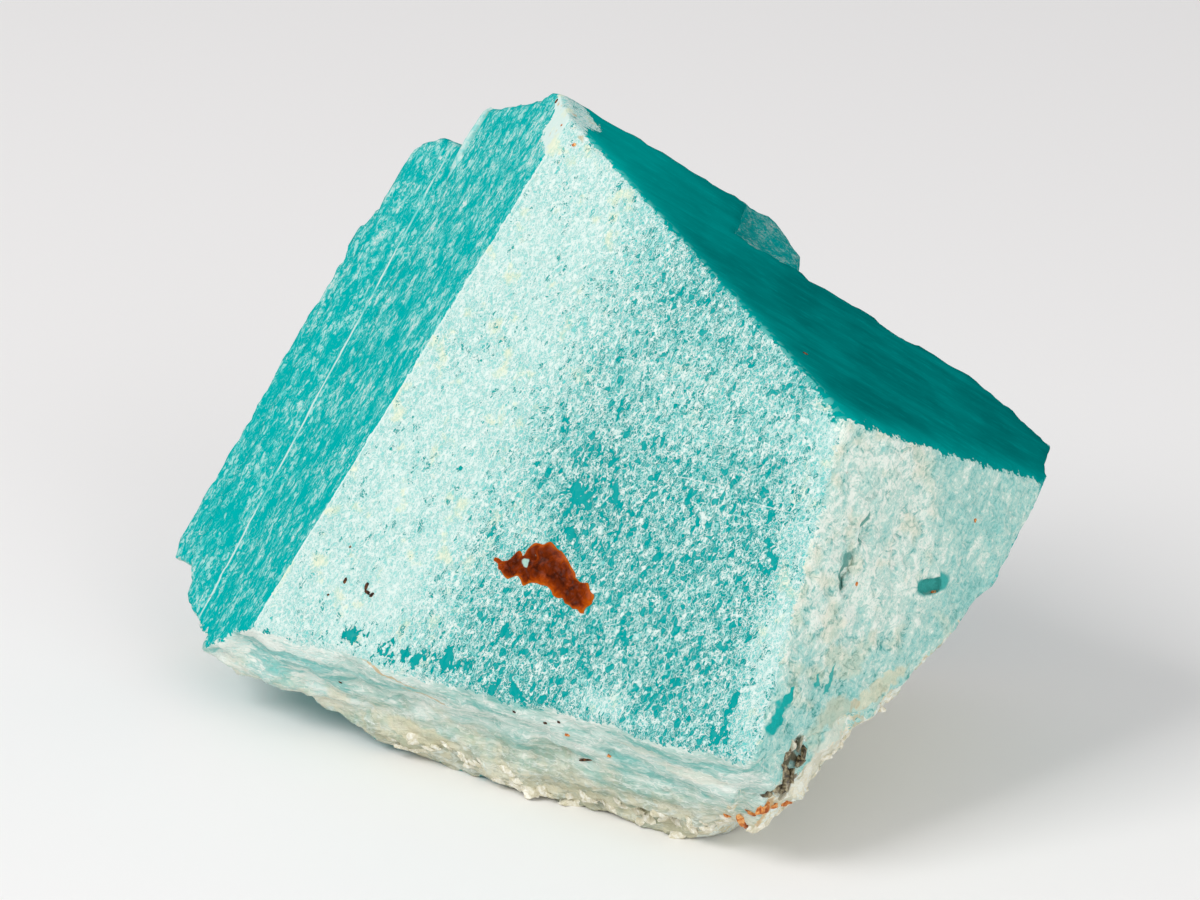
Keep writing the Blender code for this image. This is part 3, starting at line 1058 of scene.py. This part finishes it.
# Underside: pale, fibrous, broken along its length
def brokenFinish(place, share, colour):
    normal, level, rising = facing("under")[:3]
    drawn = place.along((level, rising, normal), (brokenLook["stretch"], 1, 1))
    flake = drawn.flakes(brokenLook["flakes"], 1.2, 1.0)[0]
    fibre = drawn.grain(brokenLook["fibres"], 4, 0.7, 0.6)
    strand = drawn.grain(brokenLook["strands"], 4, 0.6, 0.4)
    hairs = threads(drawn, brokenLook["hairs"], brokenLook["hairWidth"], 6.0, 0.7)
    border = (place.grain(1.6, 3, 0.6) - 0.5) * 5
    high = (place.dot(rising) + border).rise(*brokenLook["high"])
    ends = place.dot(level).rise(*brokenLook["leftEnd"])
    look = colour["greyGreen"].mix(colour["greyTeal"], (high * 0.7 + ends * 0.5).least(1.0))
    pale = (strand - 0.5) * brokenLook["strandShare"] + (fibre - 0.5) * brokenLook["fibreShare"]
    pale = pale + (flake - 0.5) * brokenLook["flakeShare"] + (hairs - 0.3) * brokenLook["hairShare"]
    pale = pale + ends * brokenLook["endShare"] + brokenLook["paleness"]
    # darker towards the lower edge: painted shade where the lower ragged parts lie in shadow
    paler = pale - (1 - high) * brokenLook["lowDarker"]
    look = look.mix(colour["underWhite"], paler.most(0.0).least(1.0))
    creamy = (1 - high) * place.grain(brokenLook["cream"], 3, 0.6).rise(0.38, 0.54)
    look = look.mix(colour["cream"], creamy * (0.30 + 0.4 * flake))
    gaps = (0.46 - strand).rise(0.0, 0.05) * (high * 0.3 + ends * 0.2).least(0.6)
    look = look.mix(colour["brightTeal"], gaps)
    return marked(look, place, colour, normal, underMarks), pale


crumbMarks = [
    ("ivory", (10.2, -14.5, 5.2), (0.5, 0.45, 0.74), (2.8, 0.9, 2.0), 0.5),
    ("olive", (10.7, -14.7, 7.2), (0.7, 0.65, 0.1), (1.5, 0.9, 1.6), 0.85),
    ("tan", (12.0, -13.5, 7.35), (0.6, 0.6, 0.4), (0.3, 0.2, 0.6), 0.6),
    ("smoke", (8.9, -16.1, 5.5), (0.35, 0.15, 0.92), (1.6, 0.55, 1.4), 0.9),
    ("smoke", (8.3, -16.4, 4.5), (0.45, 0.3, 0.84), (0.8, 0.30, 1.0), 0.7),
    ("tan", (7.5, -15.6, 3.2), (0.6, -0.2, 0.7), (1.5, 0.5, 1.5), 0.75),
]


crumblyLook = {"flakes": 0.42, "scales": 0.20, "ridges": 0.36, "ridgeWidth": 0.09, "glassy": 1.5}


# Fringe and heel: crumbly cream grains with grey-green glassy places
def crumblyFinish(place, share, colour):
    flake, rim = place.flakes(crumblyLook["flakes"], 1.1, 6.0)
    scale = place.flakes(crumblyLook["scales"], 1.1, 1.5)[0]
    ridges = threads(place, crumblyLook["ridges"], crumblyLook["ridgeWidth"], 2.0, 1.2)
    pale = (flake * 0.6 + scale * 0.4 + ridges * 0.3).rise(0.25, 0.9)
    look = colour["cream"].mix(colour["underWhite"], pale)
    glassy = (place.grain(crumblyLook["glassy"], 2, 0.55) + (0.5 - flake) * 0.2).rise(0.50, 0.58)
    look = look.mix(colour["greyGreen"], glassy * 0.55)
    look = look.mix(colour["greyGreen"], rim.fall(0.0, 0.06) * 0.25)
    look = marked(look, place, colour, facing("fringeFace")[0], crumbMarks)
    return look, flake * 0.4 + scale * 0.3 + ridges * 0.3


hiddenLook = {"flakes": 0.55, "patches": 1.3}


# Broken back: teal feldspar with pale cleavage patches
def hiddenFinish(place, share, colour):
    flake, rim = place.flakes(hiddenLook["flakes"], 1.0, 4.5)
    patch = place.grain(hiddenLook["patches"], 4, 0.66, 0.4).rise(0.44, 0.66)
    look = (patch * (0.25 + 0.6 * flake + rim.fall(0.0, 0.1) * 0.2)).ramp(frontTones)
    return look, flake * 0.5


# Each kind of surface: its finish, roughness, gloss and height of its finest relief in mm
finishes = {
    "hidden": (hiddenFinish, 0.6, 0.05, 0.03),
    "broken": (brokenFinish, 0.6, 0.10, 0.05),
    "crumbly": (crumblyFinish, 0.6, 0.10, 0.06),
    "bright": (brightFinish, 0.5, 0.0, 0.05),
    "deep": (deepFinish, 0.45, 0.0, 0.03),
    "pale": (paleFinish, 0.65, 0.08, 0.08),
    "crust": (crustFinish, 0.65, 0.0, 0.06),
}
# Ragged borders between the finishes: two noises, each its size and strength, and the softness
borders = {"fine": (0.24, 0.9), "coarse": (0.9, 0.8), "softness": (0.46, 0.54)}
bumpStrength = 0.8


def stoneFinish():
    material, shader, place = newFinish("amazoniteStone")
    colour = {}
    for name, code in stoneColours.items():
        colour[name] = place.add("RGB")
        colour[name].socket.default_value = tint(code)
    share = {}
    for name in list(kinds) + ["bare", "paleness"]:
        share[name] = place.add("Attribute", {"attribute_name": name}, out="Fac")
    size, strength = borders["fine"]
    ragged = (place.grain(size, 2, 0.65) - 0.5) * strength
    size, strength = borders["coarse"]
    ragged = ragged + (place.grain(size, 3, 0.6) - 0.5) * strength
    surface = None
    for name in layerOrder:
        finish, roughness, gloss, height = finishes[name]
        look, bumps = finish(place, share, colour)
        depth = height * metre
        bump = place.add("Bump", None, {"Strength": bumpStrength, "Distance": depth, "Height": bumps})
        layer = place.add("BsdfPrincipled", None, {
            "Base Color": look, "Roughness": roughness, "Specular IOR Level": gloss, "Normal": bump})
        if surface is None:
            surface = layer
        else:
            amount = (share[name] + ragged).rise(*borders["softness"])
            surface = place.add("MixShader", None, {0: amount, 1: surface, 2: layer})
    tree = material.node_tree
    tree.nodes.remove(shader)
    tree.links.new(surface.socket, tree.nodes["Material Output"].inputs["Surface"])
    return material


crystal = dressStone(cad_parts["amazonite_crystal"])
crystal.data.materials.append(stoneFinish())
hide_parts("amazonite_crystal")
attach(crystal, "root")
print("stone ready", len(crystal.data.polygons))

# The finished surface in mm, for setting small pieces on it
surface = BVHTree.FromPolygons([v.co / metre for v in crystal.data.vertices],
                               [tuple(p.vertices) for p in crystal.data.polygons])
lowCorner, highCorner = (Vector(corner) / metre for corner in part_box("amazonite_crystal"))


# A point kept inside the crystal's box
def inBox(point):
    return Vector([min(max(point[i], lowCorner[i]), highCorner[i]) for i in range(3)])


# A new piece on the stone from a mesh in mm
def addPiece(name, work, material, sharp):
    bmesh.ops.recalc_face_normals(work, faces=work.faces)
    for vert in work.verts:
        vert.co = inBox(vert.co) * metre
    mesh = bpy.data.meshes.new(name)
    work.to_mesh(mesh)
    work.free()
    mesh.materials.append(material)
    mesh.shade_smooth()
    mesh.set_sharp_from_angle(angle=math.radians(sharp))
    piece = bpy.data.objects.new(name, mesh)
    bpy.context.scene.collection.objects.link(piece)
    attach(piece, "root")
    print("piece ready", name, len(mesh.polygons))


# A lumpy grain grown on the stone: its place, direction, and half sizes along, across and outwards
def addGrain(work, look, middle, long, sizes, seed):
    hit, out = surface.find_nearest(Vector(middle))[:2]
    along = Vector(long) - out * out.dot(Vector(long))
    along.normalize()
    across = out.cross(along)
    ball = bmesh.ops.create_icosphere(work, subdivisions=look["detail"], radius=1.0)
    for vert in ball["verts"]:
        x, y, z = vert.co
        size = 1 + look["lumpy"] * noise.noise(vert.co * 1.6 + Vector((seed, seed * 1.7, seed * 0.6)))
        shift = along * (x * sizes[0]) + across * (y * sizes[1]) + out * ((z - look["sink"]) * sizes[2])
        vert.co = hit + shift * size


# Plain mineral finish: colours from dark to light by a mottling noise, with gloss
def grainFinish(name, look):
    material, shader, place = newFinish(name)
    mottle = place.grain(look["mottle"], 3, 0.6, 0.5).rise(0.32, 0.68)
    feed(shader, "Base Color", mottle.ramp(look["tones"]))
    shader.inputs["Roughness"].default_value = look["roughness"]
    shader.inputs["Specular IOR Level"].default_value = look["gloss"]
    return material


def makeGrains(name, look):
    work = bmesh.new()
    for number, (middle, long, sizes) in enumerate(look["grains"]):
        addGrain(work, look, middle, long, sizes, number * 3.7)
    addPiece(name, work, grainFinish(name, look), look["sharp"])


# Thin glossy crust of iron oxide on the front face
rustPatch = {
    # its two long sides, by level and rising place in the front face
    "upper": [(-0.75, 6.95), (0.0, 6.95), (0.45, 7.62), (0.75, 7.45), (1.15, 8.05), (2.1, 8.32),
              (3.05, 7.95), (3.75, 7.45), (4.35, 6.95), (5.0, 6.85), (5.5, 6.3)],
    "lower": [(-0.75, 6.85), (-0.35, 6.5), (0.25, 6.15), (0.8, 6.3), (1.35, 6.1), (1.9, 6.35),
              (2.6, 6.3), (3.25, 6.0), (3.9, 5.85), (4.5, 5.55), (5.1, 5.55)],
    "columns": 96,
    "rows": 22,
    "rimColumns": 12,          # the film thins out over these
    "rimRows": 6,
    "height": 0.10,
    "clearance": 0.02,
    "root": 0.12,              # how far its underside lies in the stone
    "ragged": 0.16,
    "tones": ((0.0, "3C1000"), (0.35, "742800"), (0.7, "A84600"), (1.0, "CE7000")),
    "rimColour": "C0600C",
    "holes": [((1.1, 7.1), 0.27), ((1.6, 7.55), 0.15)],      # place and radius
    "holeColour": "A3C6BB",
    "mottle": 0.55,
    "roughness": 0.3,
    "gloss": 0.05,
    "bump": 0.04,
}


# A place on a smooth curve through some points
def curveAt(stops, t):
    i = min(int(t), len(stops) - 2)
    f = t - i
    picked = [min(max(j, 0), len(stops) - 1) for j in (i - 1, i, i + 1, i + 2)]
    a, b, c, d = (np.array(stops[j]) for j in picked)
    bend = (c - a) * f + (2 * a - 5 * b + 4 * c - d) * f ** 2 + (3 * b - a - 3 * c + d) * f ** 3
    return b + 0.5 * bend


# A point on top of the film and the one below it, from their place in the front face
def filmPoints(u, v, rim):
    shake = Vector((u, v, 0)) * 2.6
    u += rustPatch["ragged"] * noise.noise(shake)
    v += rustPatch["ragged"] * noise.noise(shake + Vector((7, 3, 1)))
    normal = facing("front")[0]
    hit = surface.find_nearest(onFace("front", u, v))[0]
    bumps = 0.8 + 0.7 * noise.noise(Vector((u, v, 2)) * 3.1) + 0.7 * noise.noise(Vector((u, v, 5)) * 8.0)
    lift = rustPatch["height"] * math.sqrt(rim) * bumps
    return hit + normal * (rustPatch["clearance"] + lift), hit - normal * rustPatch["root"]


def rustFilm():
    columns, rows = rustPatch["columns"], rustPatch["rows"]
    rimColumns, rimRows = rustPatch["rimColumns"], rustPatch["rimRows"]
    work = bmesh.new()
    rimLayer = work.verts.layers.float.new("rim")
    topGrid = []
    lowGrid = []
    for i in range(columns + 1):
        t = i / columns * (len(rustPatch["upper"]) - 1)
        upper, lower = curveAt(rustPatch["upper"], t), curveAt(rustPatch["lower"], t)
        topRow = []
        lowRow = []
        for j in range(rows + 1):
            u, v = upper + (lower - upper) * j / rows
            rim = min(i, columns - i, rimColumns) / rimColumns * min(j, rows - j, rimRows) / rimRows
            high, low = filmPoints(u, v, rim)
            top = work.verts.new(high)
            top[rimLayer] = rim
            topRow.append(top)
            lowRow.append(work.verts.new(low))
        topGrid.append(topRow)
        lowGrid.append(lowRow)
    for i in range(columns):
        for j in range(rows):
            for grid in (topGrid, lowGrid):
                work.faces.new((grid[i][j], grid[i + 1][j], grid[i + 1][j + 1], grid[i][j + 1]))
    rim = [(i, 0) for i in range(columns)] + [(columns, j) for j in range(rows)]
    rim += [(i, rows) for i in range(columns, 0, -1)] + [(0, j) for j in range(rows, 0, -1)]
    for (i, j), (k, m) in zip(rim, rim[1:] + rim[:1]):
        work.faces.new((topGrid[i][j], topGrid[k][m], lowGrid[k][m], lowGrid[i][j]))
    return work


# Red-brown, more orange where the film is thin, with small holes in it
def rustFinish():
    material, shader, place = newFinish("ironCrust")
    mottle = place.grain(rustPatch["mottle"], 4, 0.65, 0.8)
    inner = place.add("Attribute", {"attribute_name": "rim"}, out="Fac")
    look = (0.62 - inner * 0.45 + (mottle - 0.5) * 1.5).most(0.0).least(1.0).ramp(rustPatch["tones"])
    edge = (inner + (mottle - 0.5) * 1.2).fall(0.0, 0.28)
    look = look.mix(tint(rustPatch["rimColour"]), edge * 0.7)
    for (u, v), radius in rustPatch["holes"]:
        hole = near(place.bent(0.4, 0.3), onFace("front", u, v), radius)
        look = look.mix(tint(rustPatch["holeColour"]), hole)
    feed(shader, "Base Color", look)
    shader.inputs["Roughness"].default_value = rustPatch["roughness"]
    shader.inputs["Specular IOR Level"].default_value = rustPatch["gloss"]
    depth = rustPatch["bump"] * metre
    feed(shader, "Normal", place.add("Bump", None, {"Strength": 0.5, "Distance": depth, "Height": mottle}))
    return material


addPiece("rustPatch", rustFilm(), rustFinish(), 60.0)

# Small pieces made of grains. Each grain has its place, direction and half sizes in mm; mottle is the
# size of the mottling, and sink how deep a grain sits, as a share of its height.
# Dark specks
ironSpecks = {
    "grains": [
        (onFace("front", -7.6, 3.95), (0.2, 0.1, 1), (0.24, 0.10, 0.12)),
        (onFace("front", -7.45, 3.65), (1, 0.7, -0.6), (0.20, 0.10, 0.12)),
        (onFace("front", -7.15, 3.6), (1, 0.7, 0.2), (0.18, 0.09, 0.12)),
        (onFace("front", -8.95, 3.9), (0.1, 0.1, 1), (0.20, 0.10, 0.10)),
        (onFace("front", -9.7, 3.0), (1, 0, 0.4), (0.08, 0.06, 0.06)),
        (onFace("front", -9.25, 5.55), (1, 0, 0.4), (0.07, 0.06, 0.06)),
        (onFace("under", -9.2, 7.3), (1, 0, 0), (0.10, 0.07, 0.06)),
        (onFace("under", 2.5, 9.45), (1, -0.5, 0), (0.12, 0.07, 0.07)),
        (onFace("under", 4.05, 9.0), (1, -0.5, 0), (0.12, 0.08, 0.08)),
        (onFace("under", 4.85, 9.3), (1, -0.5, 0), (0.10, 0.08, 0.08)),
        (onFace("under", 5.7, 6.75), (1, -0.7, 0.1), (0.45, 0.06, 0.06)),
        ((9.7, -6.7, 22.6), (1, 0.5, -0.3), (0.18, 0.09, 0.05)),
        ((-2.05, 7.3, 30.9), (1, 0, 0), (0.16, 0.10, 0.08)),
    ],
    "tones": ((0.0, "1E120A"), (0.6, "4A2611"), (1.0, "8A5426")),
    "mottle": 0.12, "roughness": 0.6, "gloss": 0.2,
    "lumpy": 0.5, "detail": 2, "sink": 0.25, "sharp": 40.0,
}
# Orange iron grains, most of them in the pocket
orangeGrains = {
    "grains": [
        ((12.0, -12.4, 13.25), (0, 0, 1), (0.12, 0.09, 0.08)),
        ((15.8, -9.2, 11.65), (1, 1, -0.4), (0.15, 0.08, 0.08)),
        ((17.85, -7.25, 14.45), (0, 0, 1), (0.12, 0.07, 0.07)),
        ((7.7, -16.05, 3.5), (1, 0.6, 0.6), (0.42, 0.24, 0.26)),
        ((8.7, -14.95, 3.2), (1, 0.6, 0.9), (0.34, 0.22, 0.22)),
        ((6.65, -14.9, 2.25), (1, 0.4, 0.2), (0.40, 0.22, 0.22)),
        ((7.05, -15.5, 2.85), (1, 0.5, 0.5), (0.28, 0.16, 0.18)),
        ((5.95, -14.75, 1.95), (1, 0.3, 0.1), (0.24, 0.12, 0.12)),
        ((8.2, -15.4, 3.3), (1, 0.8, 0.2), (0.20, 0.14, 0.12)),
        (onFace("under", 5.25, 8.65), (1, -0.5, 0), (0.13, 0.10, 0.09)),
        (onFace("under", 7.35, 7.85), (1, -0.5, 0), (0.12, 0.09, 0.08)),
        ((-1.8, 5.0, 30.35), (1, 0, 0), (0.08, 0.06, 0.05)),
        ((-1.2, 3.85, 29.7), (1, 0, 0), (0.14, 0.09, 0.06)),
    ],
    "tones": ((0.0, "9A4A18"), (0.5, "CC7A34"), (1.0, "E6B070")),
    "mottle": 0.25, "roughness": 0.45, "gloss": 0.3,
    "lumpy": 0.6, "detail": 3, "sink": 0.2, "sharp": 40.0,
}
# Smoky crystals in the pocket
smokyCrystals = {
    "grains": [
        ((9.05, -16.1, 6.3), (0.2, 0, 1), (0.60, 0.20, 0.34)),
        ((9.35, -15.8, 5.75), (0.5, 0.2, 1), (0.42, 0.24, 0.40)),
        ((8.8, -16.35, 5.6), (-0.1, 0.1, 1), (0.62, 0.18, 0.34)),
        ((8.6, -16.5, 4.95), (0.4, 0.2, 1), (0.46, 0.20, 0.32)),
        ((8.95, -16.0, 5.1), (0.3, 0.4, 1), (0.36, 0.16, 0.30)),
        ((8.25, -16.65, 4.5), (0.5, 0.2, 1), (0.40, 0.16, 0.26)),
        ((7.95, -16.6, 4.2), (0.6, 0.2, 1), (0.34, 0.13, 0.22)),
        ((9.5, -15.5, 6.1), (0.1, 0.1, 1), (0.40, 0.15, 0.30)),
    ],
    "tones": ((0.0, "2A241A"), (0.5, "665A3E"), (1.0, "AAA080")),
    "mottle": 0.3, "roughness": 0.2, "gloss": 0.5,
    "lumpy": 0.9, "detail": 1, "sink": -0.1, "sharp": 20.0,
}
# Clear blades among them
clearBlades = {
    "grains": [
        ((9.35, -15.75, 6.55), (0.25, 0.1, 1), (0.55, 0.10, 0.40)),
        ((8.95, -16.25, 6.75), (-0.25, 0, 1), (0.42, 0.09, 0.30)),
        ((8.55, -16.2, 4.3), (0.6, 0.2, 1), (0.36, 0.10, 0.26)),
    ],
    "tones": ((0.0, "B9B29A"), (1.0, "DAD6C4")),
    "mottle": 0.4, "roughness": 0.15, "gloss": 0.5,
    "lumpy": 0.5, "detail": 1, "sink": -0.3, "sharp": 20.0,
}
# Pale glassy strip where the outer plate meets the crystal
glassyStrip = {
    "grains": [
        ((-6.3, 13.8, 27.3), (0.52, 0.20, 0.83), (2.0, 0.30, 0.34)),
        ((-7.2, 13.3, 25.8), (0.52, 0.20, 0.83), (1.1, 0.22, 0.26)),
    ],
    "tones": ((0.0, "79C9C5"), (0.5, "A3D3CE"), (1.0, "C4DAD4")),
    "mottle": 0.4, "roughness": 0.35, "gloss": 0.2,
    "lumpy": 0.35, "detail": 3, "sink": 0.3, "sharp": 60.0,
}

makeGrains("ironSpecks", ironSpecks)
makeGrains("orangeGrains", orangeGrains)
makeGrains("smokyCrystals", smokyCrystals)
makeGrains("clearBlades", clearBlades)
makeGrains("glassyStrip", glassyStrip)

# Crumbs and thin flakes along the broken lower edge
edgeCrumbs = {
    "path": [(-9.9, -2.0, 0.7), (-8.3, -3.9, 1.0), (-4.8, -6.7, 1.1), (-3.0, -7.2, 0.4), (0.5, -9.3, 0.5),
             (3.5, -12.0, 0.6), (6.2, -14.2, 1.4), (8.7, -14.6, 2.6), (10.2, -13.4, 3.4),
             (11.6, -12.6, 5.2), (13.6, -11.4, 7.0)],
    "count": 110,
    "spread": 1.2,
    "sizes": (0.55, 0.30, 0.20),
    "tones": ((0.0, "CBC5AB"), (0.5, "DBD6C2"), (1.0, "ECEBE0")),
    "mottle": 0.3, "roughness": 0.6, "gloss": 0.1,
    "lumpy": 0.8, "detail": 2, "sink": 0.35, "sharp": 30.0,
}
# The flake that hangs below the edge: place, direction, half sizes
hangingFlake = ((-3.1, -7.0, 0.55), (0.9, -0.5, -0.2), (0.5, 0.28, 0.34))


def makeCrumbs():
    work = bmesh.new()
    path = edgeCrumbs["path"]
    for number in range(edgeCrumbs["count"]):
        place = Vector(curveAt(path, number / edgeCrumbs["count"] * (len(path) - 1)))
        size = 0.5 + 0.5 * abs(noise.noise(Vector((number * 1.3, 0.2, 4.1)))) * 2
        ways = [noise.noise(Vector((number * 0.91, k * 5.3, 1.7))) for k in range(3)]
        tilt = noise.noise(Vector((number * 0.7, 3.1, 0.4)))
        lift = noise.noise(Vector((number, 0.6, 2.2)))
        sizes = [length * size for length in edgeCrumbs["sizes"]]
        middle = place + Vector(ways) * edgeCrumbs["spread"]
        addGrain(work, edgeCrumbs, middle, (1, 0.8 * tilt, lift), sizes, number * 2.3)
    addGrain(work, dict(edgeCrumbs, lumpy=0.7, sink=-0.2), *hangingFlake, 91.0)
    addPiece("edgeCrumbs", work, grainFinish("edgeCrumbs", edgeCrumbs), edgeCrumbs["sharp"])


makeCrumbs()
print("small pieces ready")
